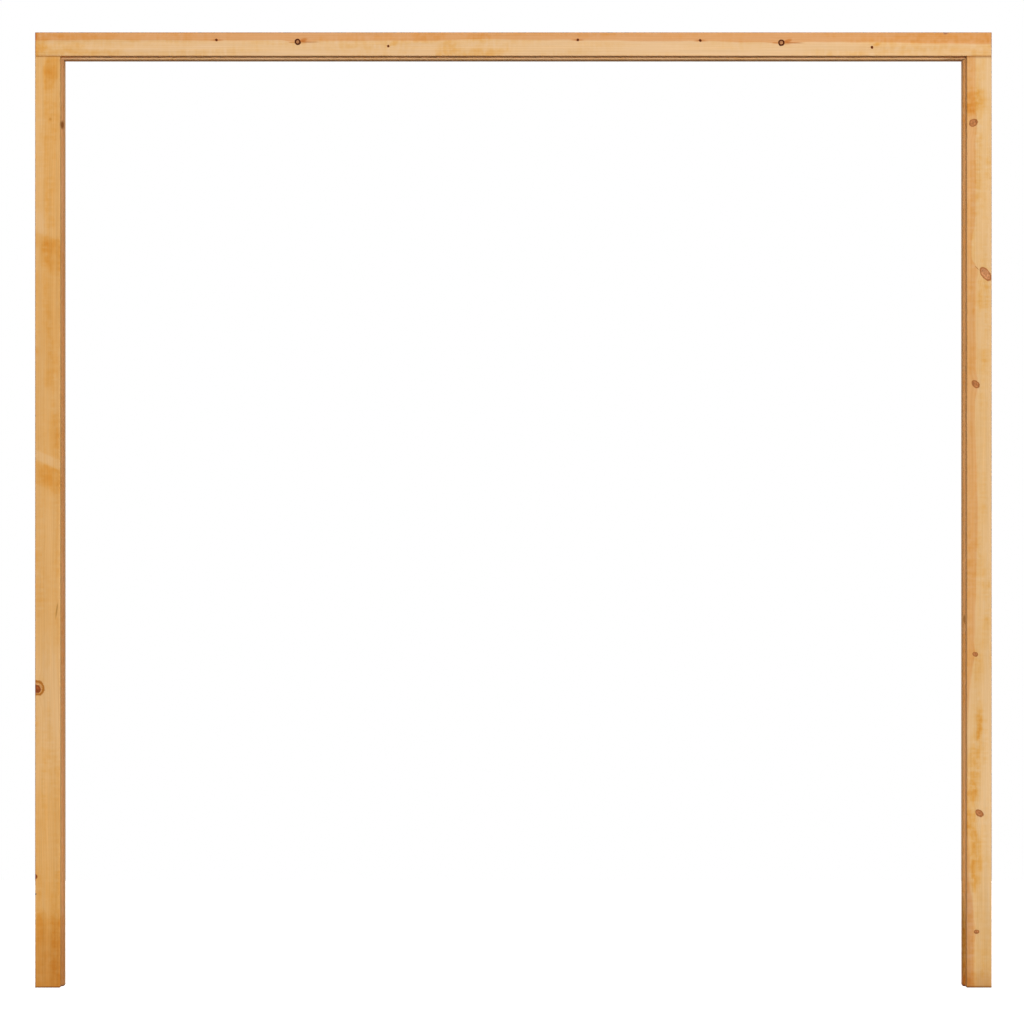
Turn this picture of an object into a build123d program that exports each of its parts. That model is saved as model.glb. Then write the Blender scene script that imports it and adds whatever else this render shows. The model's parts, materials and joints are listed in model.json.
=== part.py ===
from build123d import *

import os

# Softwood frame for a pair of outward-opening doors: two jambs and a head.
# Each member is solid timber with a rebate along its front inner edge, where
# the closed doors lie. The head runs over both jambs and holds their tenons.
# X is the width, Y the depth (the rebated front face is at -Y) and Z is up.
# The origin is on the floor, midway between the jambs and midway in the depth.

# The pair of doors that the frame is made for
door_pair_width = 2134.0
door_height = 2134.0
door_thickness = 44.0
door_gap = 3.0  # running gap at each side of the pair and over it

# Section of the timber
jamb_face = 59.0  # front face of a jamb, beside the rebate
head_face = 56.0  # front face of the head, over the rebate
stop_projection = 6.0  # how far the stop stands into the opening
stop_depth = 50.0  # timber behind the rebate
arris_radius = 1.5  # long edges that are rounded over
leg_below_door = 62.0  # the jambs run on below the doors, to be set in the floor
foot_chamfer = 0.8
end_chamfer = 0.8  # round the sawn ends of the head

# Corner joint: a wedged, haunched through tenon with stepped shoulders
haunch_width = 18.0  # from the jamb's outer face to the tenon
haunch_height = 12.0
haunch_end_gap = 1.0  # over the haunch, so that the shoulders close first
inner_shoulder = 6.0  # from the tenon to the jamb's inner face
tenon_thickness = 22.0
tenon_setback = 3.0  # from the rebate plane to the tenon's front cheek
cheek_gap = 0.15  # glue line at each cheek of the tenon
upright_end = 1.0  # mortise end left upright over the haunch, below the flare
wedge_thick_end = 6.0
wedge_thin_end = 1.0

# The opening between the rebates, and the size of the whole frame
rebate_half_width = door_pair_width / 2 + door_gap
rebate_height = leg_below_door + door_height + door_gap
half_width = rebate_half_width + jamb_face
frame_height = rebate_height + head_face
timber_depth = door_thickness + stop_depth
stop_half_width = rebate_half_width - stop_projection
stop_height = rebate_height - stop_projection

# Front, rebate and back planes of the section
front_y = -timber_depth / 2
rebate_y = front_y + door_thickness
back_y = timber_depth / 2

# Corners of the tenon, its haunch and the flared mortise
tenon_mid_y = rebate_y + tenon_setback + tenon_thickness / 2
tenon_outer_x = half_width - haunch_width
tenon_inner_x = stop_half_width + inner_shoulder
haunch_top_z = stop_height + haunch_height
groove_top_z = haunch_top_z + haunch_end_gap
flare_start_z = groove_top_z + upright_end
wedge_slope = wedge_thick_end / (frame_height - flare_start_z)
wedge_start_z = flare_start_z + wedge_thin_end / wedge_slope

joint_plane = Plane.XZ.offset(-tenon_mid_y)


def eased(section, rebate_corner):
    """Corners of a section that are rounded over: all but the one in the rebate."""
    corner = Vector(*rebate_corner)
    return section.vertices().filter_by(lambda v: (Vector(*v) - corner).length > arris_radius)


# Right jamb: the rebated section stops at the shoulder under the head's stop,
# and the part in front of the rebate runs on up to the head's front part.
with BuildPart() as right_jamb:
    with BuildSketch(Plane.XY) as jamb_section:
        with BuildLine():
            Polyline(
                (half_width, front_y),
                (half_width, back_y),
                (stop_half_width, back_y),
                (stop_half_width, rebate_y),
                (rebate_half_width, rebate_y),
                (rebate_half_width, front_y),
                close=True,
            )
        make_face()
        fillet(eased(jamb_section, (rebate_half_width, rebate_y)), arris_radius)
    extrude(amount=stop_height)
    foot = right_jamb.faces().sort_by(Axis.Z)[0]
    chamfer(foot.outer_wire().edges(), foot_chamfer)

    with BuildSketch(Plane.XY.offset(stop_height)) as front_shoulder:
        with Locations(((half_width + rebate_half_width) / 2, (front_y + rebate_y) / 2)):
            Rectangle(jamb_face, door_thickness)
        fillet(front_shoulder.vertices().group_by(Axis.Y)[0], arris_radius)
    extrude(amount=rebate_height - stop_height)

    with BuildSketch(joint_plane):
        with BuildLine():
            Polyline(
                (half_width, stop_height),
                (half_width, haunch_top_z),
                (tenon_outer_x, haunch_top_z),
                (tenon_outer_x, frame_height),
                (tenon_inner_x, frame_height),
                (tenon_inner_x, stop_height),
                close=True,
            )
        make_face()
    extrude(amount=tenon_thickness / 2, both=True)

with BuildPart() as left_jamb:
    mirror(right_jamb.part, about=Plane.YZ)

# Head: the same rebated section laid flat, with a mortise for each tenon. The
# mortise is flared towards the top for the wedges, and a groove for the haunch
# runs out of it to the end of the head.
with BuildPart() as head:
    with BuildSketch(Plane.YZ) as head_section:
        with BuildLine():
            Polyline(
                (front_y, rebate_height),
                (front_y, frame_height),
                (back_y, frame_height),
                (back_y, stop_height),
                (rebate_y, stop_height),
                (rebate_y, rebate_height),
                close=True,
            )
        make_face()
        fillet(eased(head_section, (rebate_y, rebate_height)), arris_radius)
    extrude(amount=half_width, both=True)
    sawn_ends = head.faces().filter_by(Axis.X)
    chamfer([edge for end in sawn_ends for edge in end.outer_wire().edges()], end_chamfer)

    with BuildSketch(joint_plane):
        with BuildLine():
            Polyline(
                (half_width, stop_height),
                (half_width, groove_top_z),
                (tenon_outer_x, groove_top_z),
                (tenon_outer_x, flare_start_z),
                (tenon_outer_x + wedge_thick_end, frame_height),
                (tenon_inner_x - wedge_thick_end, frame_height),
                (tenon_inner_x, flare_start_z),
                (tenon_inner_x, stop_height),
                close=True,
            )
        make_face()
        mirror(about=Plane.YZ)
    extrude(amount=tenon_thickness / 2 + cheek_gap, both=True, mode=Mode.SUBTRACT)

pieces = {"head": head, "left_jamb": left_jamb, "right_jamb": right_jamb}

# Wedges: two to a corner, each driven down between the tenon's edge and the
# sloping end of the mortise, and cut off flush with the top of the head.
for side_name, side in (("left", -1), ("right", 1)):
    for place, edge_x, outwards in (("outer", tenon_outer_x, 1), ("inner", tenon_inner_x, -1)):
        with BuildPart() as wedge:
            with BuildSketch(joint_plane):
                with BuildLine():
                    Polyline(
                        (side * edge_x, wedge_start_z),
                        (side * edge_x, frame_height),
                        (side * (edge_x + outwards * wedge_thick_end), frame_height),
                        (side * (edge_x + outwards * wedge_thin_end), wedge_start_z),
                        close=True,
                    )
                make_face()
            extrude(amount=tenon_thickness / 2, both=True)
        pieces[f"{side_name}_{place}_wedge"] = wedge

os.makedirs("parts", exist_ok=True)
for name, piece in pieces.items():
    piece.part.label = name
    export_step(piece.part, f"parts/{name}.step")
    print(name, "volume", round(piece.part.volume), "mm3")
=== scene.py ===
# %% [markdown]
# # A softwood door frame
# The frame is three lengths of rebated pine: a head laid over two jambs, held by wedged
# tenons. Their shape is fixed and comes in ready made, so this file does what the
# timber and the finisher do: it works out how each length grew in its tree, stains it,
# and lights it plainly for a picture. Everything is in metres, with Z up and the
# rebated front face looking towards -Y.

# %% Load the frame
import json
import math

import bpy
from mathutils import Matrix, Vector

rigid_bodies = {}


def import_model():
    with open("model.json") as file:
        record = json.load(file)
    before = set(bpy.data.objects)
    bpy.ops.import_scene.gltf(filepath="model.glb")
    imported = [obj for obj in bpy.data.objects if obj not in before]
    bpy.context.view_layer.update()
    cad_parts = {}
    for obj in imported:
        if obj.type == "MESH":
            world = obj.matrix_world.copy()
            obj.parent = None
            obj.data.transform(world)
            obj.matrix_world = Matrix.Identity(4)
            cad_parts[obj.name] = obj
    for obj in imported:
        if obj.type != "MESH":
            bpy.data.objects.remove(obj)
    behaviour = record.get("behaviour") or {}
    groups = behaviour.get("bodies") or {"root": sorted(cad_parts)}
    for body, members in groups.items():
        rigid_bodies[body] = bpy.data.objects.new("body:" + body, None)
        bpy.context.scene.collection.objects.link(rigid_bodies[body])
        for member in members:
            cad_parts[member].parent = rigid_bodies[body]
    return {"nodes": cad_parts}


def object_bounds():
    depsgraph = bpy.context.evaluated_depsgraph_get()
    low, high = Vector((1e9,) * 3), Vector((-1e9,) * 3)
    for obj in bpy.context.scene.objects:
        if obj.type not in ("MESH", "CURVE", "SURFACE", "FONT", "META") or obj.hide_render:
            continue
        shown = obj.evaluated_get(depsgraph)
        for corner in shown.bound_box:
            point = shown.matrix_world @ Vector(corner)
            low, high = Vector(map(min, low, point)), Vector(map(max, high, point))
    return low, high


for left_over in list(bpy.data.objects):
    bpy.data.objects.remove(left_over)
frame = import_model()
cad_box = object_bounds()
MM = 0.001
low, high = cad_box
front_y = low.y
frame_width = high.x - low.x
frame_height = high.z
print("frame", round(frame_width / MM), "x", round(frame_height / MM), "mm")

# %% [markdown]
# ## Camera
# The picture was taken square on and from far off, so the rebates show only a few
# millimetres of their side walls. How much nearer the stops' feet seem to end than the
# face's feet gives the distance, about fourteen metres. The lens is then worked out from
# how many millimetres of the front face one pixel covers.

# %% Camera
IMAGE_SIDE = 1024  # pixels
MM_PER_PIXEL = 2.3604
CAMERA_DISTANCE = 14.0
LEFT_OF_MIDDLE = 1.4  # pixels from the middle of the frame to the middle of the picture
BELOW_MIDDLE = 2.0
SENSOR_WIDTH = 36.0

field = IMAGE_SIDE * MM_PER_PIXEL * MM
camera_data = bpy.data.cameras.new("camera")
camera_data.sensor_width = SENSOR_WIDTH
camera_data.lens = SENSOR_WIDTH * CAMERA_DISTANCE / field
camera = bpy.data.objects.new("camera", camera_data)
camera.location = (
    -LEFT_OF_MIDDLE * MM_PER_PIXEL * MM,
    front_y - CAMERA_DISTANCE,
    frame_height / 2 - BELOW_MIDDLE * MM_PER_PIXEL * MM,
)
camera.rotation_euler = (math.radians(90), 0, 0)
bpy.context.scene.collection.objects.link(camera)
bpy.context.scene.camera = camera
print("lens", round(camera_data.lens), "mm")

# %% [markdown]
# ## Short ways to write node trees
# A finish is a tree of nodes. Written out in full, each node takes a line to make, one
# for each setting and one for each link. These helpers make a node, fill or link its
# sockets and hand back its result, so that the trees below read like sums.

# %% Helpers for node trees
SOCKET_KINDS = {3: "NodeSocketVector", 4: "NodeSocketColor"}
WHITE = (1, 1, 1, 1)
NODE_SPACING = 190


def node(tree, kind, inputs=None, **settings):
    """One node, with its settings made and its inputs linked or filled in."""
    made = tree.nodes.new(kind)
    made.location = (NODE_SPACING * len(tree.nodes), 0)
    for name, value in settings.items():
        setattr(made, name, value)
    for socket, value in (inputs or {}).items():
        if isinstance(value, bpy.types.NodeSocket):
            tree.links.new(value, made.inputs[socket])
        else:
            made.inputs[socket].default_value = value
    return made


def maths(tree, operation, *values, clamp=False):
    """The result of one Math node."""
    sockets = dict(enumerate(values))
    return node(tree, "ShaderNodeMath", sockets, operation=operation, use_clamp=clamp).outputs[0]


def plus(tree, first, second):
    """The sum of two numbers."""
    return maths(tree, "ADD", first, second)


def minus(tree, first, second):
    """A number less another."""
    return maths(tree, "SUBTRACT", first, second)


def times(tree, first, second):
    """The product of two numbers."""
    return maths(tree, "MULTIPLY", first, second)


def vector_maths(tree, operation, *values):
    """The vector that one Vector Math node gives."""
    sockets = dict(enumerate(values))
    return node(tree, "ShaderNodeVectorMath", sockets, operation=operation).outputs[0]


def scaled(tree, vector, factor):
    """A vector times a number."""
    sockets = {0: vector, "Scale": factor}
    return node(tree, "ShaderNodeVectorMath", sockets, operation="SCALE").outputs[0]


def length_of(tree, vector):
    """The length of a vector."""
    return node(tree, "ShaderNodeVectorMath", {0: vector}, operation="LENGTH").outputs["Value"]


def parts_of(tree, vector):
    """The X, Y and Z of a vector."""
    return node(tree, "ShaderNodeSeparateXYZ", {"Vector": vector}).outputs


def vector_of(tree, x, y, z):
    """A vector from its three parts."""
    return node(tree, "ShaderNodeCombineXYZ", {"X": x, "Y": y, "Z": z}).outputs[0]


def smooth_step(tree, value, start, end):
    """0 before start and 1 after end, with a soft change between."""
    sockets = {"Value": value, "From Min": start, "From Max": end}
    made = node(tree, "ShaderNodeMapRange", sockets, interpolation_type="SMOOTHSTEP")
    return made.outputs["Result"]


def noise(tree, vector, scales, detail=2.0, output="Fac"):
    """Noise whose blots are one over each scale metres long that way."""
    place = vector_maths(tree, "MULTIPLY", vector, scales)
    sockets = {"Vector": place, "Scale": 1.0, "Detail": detail}
    return node(tree, "ShaderNodeTexNoise", sockets).outputs[output]


def swing(tree, value, reach):
    """A noise value from 0 to 1, turned into one from -reach to +reach."""
    return times(tree, minus(tree, value, 0.5), times(tree, reach, 2.0))


def mixed(tree, factor, first, second, blend="MIX"):
    """Two colours mixed by a factor. Sockets 6 and 7 are the Mix node's colours."""
    sockets = {0: factor, 6: first, 7: second}
    return node(tree, "ShaderNodeMix", sockets, data_type="RGBA", blend_type=blend).outputs[2]


def fading(tree, value, start, end):
    """1 before start and 0 after end, with a soft change between."""
    return minus(tree, 1.0, smooth_step(tree, value, start, end))


def tinted(tree, factor, shade, tint):
    """A colour multiplied by a tint, as far as the factor says."""
    return mixed(tree, factor, shade, tint, "MULTIPLY")


def largest_part(tree, vector):
    """The largest of a vector's three parts."""
    parts = parts_of(tree, vector)
    return maths(tree, "MAXIMUM", parts["X"], maths(tree, "MAXIMUM", parts["Y"], parts["Z"]))


def colour(red, green, blue):
    """A colour from its 0 to 255 screen values, as the linear light that shaders use."""
    steps = [value / 255 for value in (red, green, blue)]
    linear = [v / 12.92 if v <= 0.04045 else ((v + 0.055) / 1.055) ** 2.4 for v in steps]
    return (*linear, 1.0)


def new_group(name, inputs, outputs):
    """An empty node group with named sockets; gives its tree, its inputs and its outputs."""
    tree = bpy.data.node_groups.new(name, "ShaderNodeTree")
    for side, sockets in (("INPUT", inputs), ("OUTPUT", outputs)):
        for label, value in sockets.items():
            kind = "NodeSocketFloat" if isinstance(value, float) else SOCKET_KINDS[len(value)]
            tree.interface.new_socket(label, in_out=side, socket_type=kind).default_value = value
    given = tree.nodes.new("NodeGroupInput").outputs
    result = tree.nodes.new("NodeGroupOutput").inputs
    return tree, given, result


def finish_group(tree, result, values):
    """Links the results of a group to its outputs, and gives the group."""
    for label, value in values.items():
        tree.links.new(value, result[label])
    print(tree.name, len(tree.nodes), "nodes")
    return tree


def placed(tree, group, inputs, look):
    """One node group put to work; gives its outputs. The look fills sockets of its own names."""
    names = {socket.name for socket in group.interface.items_tree}
    from_look = {name: value for name, value in look.items() if name in names}
    return node(tree, "ShaderNodeGroup", {**from_look, **inputs}, node_tree=group).outputs


print("helpers ready")

# %% [markdown]
# ## Sky
# The sky's light is plain, and five times as strong from above the horizon as from
# below. What falls on the frame from the sky, and what the camera sees behind the frame,
# are kept apart: Light Path tells a ray that comes from the camera or off a gloss, and
# only such a ray meets the white ground. A white that lit the frame as well would wash
# its colours out.

# %% Sky
SKY_STRENGTH = 0.40
SKY_FROM_BELOW = 0.08
SKY_BLEND = 0.3  # how far above and below the horizon one passes into the other

world = bpy.data.worlds.new("studio")
world.use_nodes = True
bpy.context.scene.world = world
tree = world.node_tree
tree.nodes.clear()


def lit_or_seen(tree, lit, seen):
    """One shader for rays of light, and another for what the camera or a gloss shows."""
    rays = node(tree, "ShaderNodeLightPath").outputs
    mirrored = maths(tree, "MAXIMUM", rays["Is Glossy Ray"], rays["Is Transmission Ray"])
    shown = maths(tree, "MAXIMUM", rays["Is Camera Ray"], mirrored)
    sockets = {0: shown, 1: lit.outputs[0], 2: seen.outputs[0]}
    return node(tree, "ShaderNodeMixShader", sockets).outputs[0]


direction = node(tree, "ShaderNodeTexCoord").outputs["Generated"]
upwards = parts_of(tree, direction)["Z"]
strength = node(tree, "ShaderNodeMapRange", {
    "Value": upwards, "From Min": -SKY_BLEND, "From Max": SKY_BLEND,
    "To Min": SKY_FROM_BELOW, "To Max": SKY_STRENGTH,
}).outputs["Result"]
light = node(tree, "ShaderNodeBackground", {"Color": WHITE, "Strength": strength})
ground = node(tree, "ShaderNodeBackground", {"Color": WHITE, "Strength": 1.0})
node(tree, "ShaderNodeOutputWorld", {"Surface": lit_or_seen(tree, light, ground)})
print("sky", SKY_STRENGTH, "from above,", SKY_FROM_BELOW, "from below")

# %% [markdown]
# ## Lamps
# Three broad lamps stand hardly higher than the head. One far out on each side lights
# the rebate of the jamb across from it, and one in front evens out the faces. As they
# stand so low, the stop under the head is lit too, and only the undersides stay dark.
# A fourth, high up and far behind, lights the back and the top. From so far off it
# hardly grazes the faces that look into the opening.

# %% Lamps
LAMP_TARGET = Vector((0.0, 0.0, 1.0))
LAMP_WIDTH, LAMP_DEPTH = 1.6, 0.6
LAMPS = {  # where each lamp stands, and its watts
    "left_lamp": ((-7.0, -5.0, 2.35), 158.0),
    "right_lamp": ((7.0, -5.0, 2.35), 275.0),
    "front_lamp": ((0.3, -8.0, 2.35), 270.0),
    "back_lamp": ((0.0, 14.0, 14.0), 2300.0),
}

for name, (stand, power) in LAMPS.items():
    lamp_data = bpy.data.lights.new(name, "AREA")
    lamp_data.shape = "RECTANGLE"
    lamp_data.size = LAMP_WIDTH
    lamp_data.size_y = LAMP_DEPTH
    lamp_data.energy = power
    lamp = bpy.data.objects.new(name, lamp_data)
    lamp.location = stand
    lamp.rotation_euler = (LAMP_TARGET - lamp.location).to_track_quat("-Z", "Y").to_euler()
    bpy.context.scene.collection.objects.link(lamp)
print(len(LAMPS), "lamps")

# %% [markdown]
# ## Floor
# The frame stands on plain pale paper. To the camera the paper is white and still takes
# the frame's shadow. To the light it is dark, so little comes back up from it and the
# undersides of the head stay as dark as in the picture.

# %% Floor
FLOOR_HALF = 4.0
PAPER_FOR_LIGHT = 0.10  # share of the light that it throws back
PAPER_SEEN = 0.8  # the same, as the camera sees it
PAPER_GLOW = 0.7  # brings the seen paper up to white

corners = [(-1, -1), (1, -1), (1, 1), (-1, 1)]
floor_mesh = bpy.data.meshes.new("floor")
points = [(FLOOR_HALF * x, FLOOR_HALF * y, 0.0) for x, y in corners]
floor_mesh.from_pydata(points, [], [(0, 1, 2, 3)])
floor = bpy.data.objects.new("floor", floor_mesh)
bpy.context.scene.collection.objects.link(floor)

paper = bpy.data.materials.new("floor_paper")
paper.use_nodes = True
tree = paper.node_tree
tree.nodes.clear()
dull = node(tree, "ShaderNodeBsdfDiffuse", {"Color": (PAPER_FOR_LIGHT,) * 3 + (1.0,)})
white = node(tree, "ShaderNodeBsdfDiffuse", {"Color": (PAPER_SEEN,) * 3 + (1.0,)})
glow = node(tree, "ShaderNodeEmission", {"Color": WHITE, "Strength": PAPER_GLOW})
lifted = node(tree, "ShaderNodeAddShader", {0: white.outputs[0], 1: glow.outputs[0]})
node(tree, "ShaderNodeOutputMaterial", {"Surface": lit_or_seen(tree, dull, lifted)})
floor_mesh.materials.append(paper)
print("floor", 2 * FLOOR_HALF, "m square")

# %% [markdown]
# ## Growth rings
# A plank's grain is a cut through a tree trunk: cones of pale early wood and darker late
# wood, one inside the other round the pith. It could be drawn on each face with waves,
# but then the faces would not agree at the arrises. Here the distance from the pith is
# worked out in the solid, so every face, rebate and tenon shows its own cut through the
# same rings. The pith wanders a little along the trunk, no two seasons are the same,
# and the rings swell round a branch.

# %% Growth rings
BENDS = (1.5, 1.5, 1.3)  # of the pith, to a metre across and along the timber
BEND_GAIN = 4.0  # a noise keeps within a quarter of its middle
RIPPLES = (25, 25, 2.5)  # of the rings, to a metre
RIPPLE_REACH = 0.0012
YEARS = 90.0  # changes between wide and narrow rings, to a metre of radius
SUMMER = (0.30, 0.88)  # the part of a ring over which it darkens
NEXT_SPRING = (0.92, 1.0)  # and over which it turns pale again

tree, given, result = new_group(
    "growth_rings",
    {"Vector": (0, 0, 0), "Pith": (0, 0, 0), "Ring Width": 0.003, "Wander": 0.003, "Swell": 0.0},
    {"Radius": 0.0, "Late Wood": 0.0},
)
slow = noise(tree, given["Vector"], BENDS, output="Color")
off_centre = vector_maths(tree, "SUBTRACT", slow, (0.5, 0.5, 0.5))
wander = scaled(tree, off_centre, times(tree, given["Wander"], BEND_GAIN))
moved = vector_maths(tree, "ADD", given["Vector"], wander)
from_pith = vector_maths(tree, "SUBTRACT", moved, given["Pith"])
outwards = length_of(tree, vector_maths(tree, "MULTIPLY", from_pith, (1, 1, 0)))
waves = swing(tree, noise(tree, given["Vector"], RIPPLES), RIPPLE_REACH)
radius = minus(tree, plus(tree, outwards, waves), given["Swell"])
sockets = {"W": radius, "Scale": YEARS, "Detail": 1.0}
season = node(tree, "ShaderNodeTexNoise", sockets, noise_dimensions="1D").outputs["Fac"]
early_or_late = swing(tree, season, 1.0)
ring_count = plus(tree, maths(tree, "DIVIDE", radius, given["Ring Width"]), early_or_late)
through_ring = maths(tree, "FRACT", ring_count)
darkening = smooth_step(tree, through_ring, *SUMMER)
next_spring = smooth_step(tree, through_ring, *NEXT_SPRING)
late_wood = maths(tree, "SUBTRACT", darkening, next_spring, clamp=True)
growth_rings = finish_group(tree, result, {"Radius": radius, "Late Wood": late_wood})

# %% [markdown]
# ## Sapwood and heartwood
# The outer, younger wood of a pine is pale, and inside a certain ring it turns to a
# redder heartwood. The face of the head runs right along that ring, so it has a redder
# upper band and a pale lower one. The change is sharp and follows the rings. Fibres add
# fine streaks along the timber, long ones for the change from year to year and short
# ones for single bundles.

# %% Sapwood and heartwood
NOTCHES = (30, 30, 9)  # in the boundary, to a metre across and along
NOTCH_REACH = 0.0025
FIBRES = (420, 420, 11)
STREAKS = (120, 120, 2.2)
FIBRE_SHARE = 0.8  # of the streaks' strength

tree, given, result = new_group(
    "softwood",
    {
        "Vector": (0, 0, 0), "Radius": 0.1, "Late Wood": 0.0, "Heart Radius": 0.1,
        "Heart Edge": 0.002, "Sapwood": (0.8, 0.5, 0.3, 1), "Heartwood": (0.7, 0.4, 0.2, 1),
        "Late Tint": (0.8, 0.7, 0.6, 1), "Streaks": 0.08,
    },
    {"Color": WHITE, "Fibre": 0.0},
)
ragged = swing(tree, noise(tree, given["Vector"], NOTCHES, 3.0), NOTCH_REACH)
edge_radius = plus(tree, given["Radius"], ragged)
inner_edge = minus(tree, given["Heart Radius"], given["Heart Edge"])
outer_edge = plus(tree, given["Heart Radius"], given["Heart Edge"])
sapwood_part = smooth_step(tree, edge_radius, inner_edge, outer_edge)
plain_wood = mixed(tree, sapwood_part, given["Heartwood"], given["Sapwood"])
ringed_wood = tinted(tree, given["Late Wood"], plain_wood, given["Late Tint"])
fibre = noise(tree, given["Vector"], FIBRES, 4.0)
streak = noise(tree, given["Vector"], STREAKS, 3.0)
fine_tone = swing(tree, fibre, times(tree, given["Streaks"], FIBRE_SHARE))
tone = plus(tree, fine_tone, swing(tree, streak, given["Streaks"]))
toned = scaled(tree, ringed_wood, plus(tree, tone, 1.0))
softwood = finish_group(tree, result, {"Color": toned, "Fibre": fibre})

# %% [markdown]
# ## Branches
# A knot is where the saw met a branch. A branch starts at the pith and grows thicker
# outwards, so it is a cone in the solid, and the cone's cut is the round or slanting
# knot on a face. Painting spots on the faces would be quicker, but a branch that leaves
# the face near an arris shows on the other side of the arris too. The inner half of the
# cone is left out, where the branch was no more than a twig. This group says where a
# point lies in the cone, how far it is into the reddish flame that runs along the grain
# beside it, and by how much the rings bulge round it.

# %% Branches
LUMPS = (160, 160, 110)  # on a branch, to a metre
LUMPINESS = 0.22
TWIG = (0.5, 0.65)  # shares of the way to the face where the cone begins to show
TWIG_REACH = 3.0  # counts as well outside the cone
LEAST_THICKNESS = 0.02
ROOT_FADE = (0.0, 0.1)
FLAME_FADE = (0.1, 1.0)
BULGE_SHAPE = (1, 1, 0.35)  # three times as long along the grain
BULGE_FADE = (0.3, 2.6)
BULGE_SHARE = 0.4  # of the branch's thickness

tree, given, result = new_group(
    "branch",
    {
        "Vector": (0, 0, 0), "Root": (0, 0, 0), "Middle": (0, 0, 1), "Size": 0.01,
        "Flame Length": 4.0, "Flame Shift": 0.0, "Swell": 0.0,
    },
    {"Reach": 0.0, "Flame": 0.0, "Swell": 0.0},
)
whole = vector_maths(tree, "SUBTRACT", given["Middle"], given["Root"])
axis = vector_maths(tree, "NORMALIZE", whole)
point = vector_maths(tree, "SUBTRACT", given["Vector"], given["Root"])
projection = node(tree, "ShaderNodeVectorMath", {0: point, 1: axis}, operation="DOT_PRODUCT")
along = projection.outputs["Value"]
outwards = maths(tree, "DIVIDE", along, length_of(tree, whole))
thickness = times(tree, given["Size"], maths(tree, "MAXIMUM", outwards, LEAST_THICKNESS))
beside = vector_maths(tree, "SUBTRACT", point, scaled(tree, axis, along))
uneven = swing(tree, noise(tree, given["Vector"], LUMPS), LUMPINESS)
near_pith = times(tree, fading(tree, outwards, *TWIG), TWIG_REACH)
from_axis = maths(tree, "DIVIDE", length_of(tree, beside), thickness)
reach = plus(tree, plus(tree, from_axis, uneven), near_pith)
parts = parts_of(tree, beside)
shifted = minus(tree, parts["Z"], given["Flame Shift"])
drawn_in = maths(tree, "DIVIDE", shifted, given["Flame Length"])
flame_place = vector_of(tree, parts["X"], parts["Y"], drawn_in)
flame_reach = maths(tree, "DIVIDE", length_of(tree, flame_place), thickness)
past_root = smooth_step(tree, outwards, *ROOT_FADE)
flame = times(tree, past_root, fading(tree, flame_reach, *FLAME_FADE))
ring_place = vector_maths(tree, "MULTIPLY", beside, BULGE_SHAPE)
ring_reach = maths(tree, "DIVIDE", length_of(tree, ring_place), thickness)
round_it = times(tree, past_root, fading(tree, ring_reach, *BULGE_FADE))
bulge = times(tree, given["Size"], times(tree, round_it, BULGE_SHARE))
branch = finish_group(tree, result, {
    "Reach": reach,
    "Flame": flame,
    "Swell": plus(tree, given["Swell"], bulge),
})

# %% [markdown]
# ## Knot wood
# A live branch has its own close rings and a thin brown rim where its bark began. A dead
# one is loose, and its rim is a black line. A pin knot is hardly more than a dark dot,
# and a swollen collar of pale wood inside an orange rim can lie round a branch. One group
# does for all: it lays the flame, the knot and the rim over the colour that it is given,
# so branches can be put one after another. Its wood is dense and full of resin, so a
# fine speckle breaks up its rings.

# %% Knot wood
KNOT_EDGE = (0.88, 1.06)  # this and the next three are shares of a knot's radius
KNOT_HEART = (0.08, 0.40)
RIM_BUILD_UP = 0.2
RIM_FADE = (0.98, 1.14)
KNOT_RINGS = 19.0  # radians to the edge, which is three rings
RING_STRENGTH = 0.08
SPECKLES = (190, 190, 190)  # to a metre
SPECKLE_STRENGTH = 0.85

tree, given, result = new_group(
    "knot_wood",
    {
        "Vector": (0, 0, 0), "Color": WHITE, "Reach": 2.0, "Flame": 0.0,
        "Core": (0.4, 0.2, 0.1, 1), "Rim": (0.2, 0.1, 0.05, 1), "Rim Start": 0.7,
        "Rim Strength": 0.7, "Flame Tint": (0.9, 0.7, 0.6, 1), "Heart Strength": 0.5,
    },
    {"Color": WHITE},
)
flamed = tinted(tree, given["Flame"], given["Color"], given["Flame Tint"])
inside = fading(tree, given["Reach"], *KNOT_EDGE)
rings = maths(tree, "SINE", times(tree, given["Reach"], KNOT_RINGS))
speckle = swing(tree, noise(tree, given["Vector"], SPECKLES), SPECKLE_STRENGTH)
uneven_rings = maths(tree, "MULTIPLY_ADD", rings, RING_STRENGTH, speckle)
core = scaled(tree, given["Core"], plus(tree, uneven_rings, 1.0))
heart = times(tree, given["Heart Strength"], fading(tree, given["Reach"], *KNOT_HEART))
with_core = mixed(tree, inside, flamed, mixed(tree, heart, core, given["Rim"]))
rim_full = plus(tree, given["Rim Start"], RIM_BUILD_UP)
rim_inside = smooth_step(tree, given["Reach"], given["Rim Start"], rim_full)
rim_band = times(tree, rim_inside, fading(tree, given["Reach"], *RIM_FADE))
rim = times(tree, rim_band, given["Rim Strength"])
knot_wood = finish_group(tree, result, {"Color": mixed(tree, rim, with_core, given["Rim"])})

# %% [markdown]
# ## Kinds of knot
# The frame shows six kinds of knot. Each could be a group of its own, but they differ
# only in the colours of the wood and the rim, where the rim starts and how strong it is,
# the tint of the flame, and how dark the heart is. So a row of values for each is enough.

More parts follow.
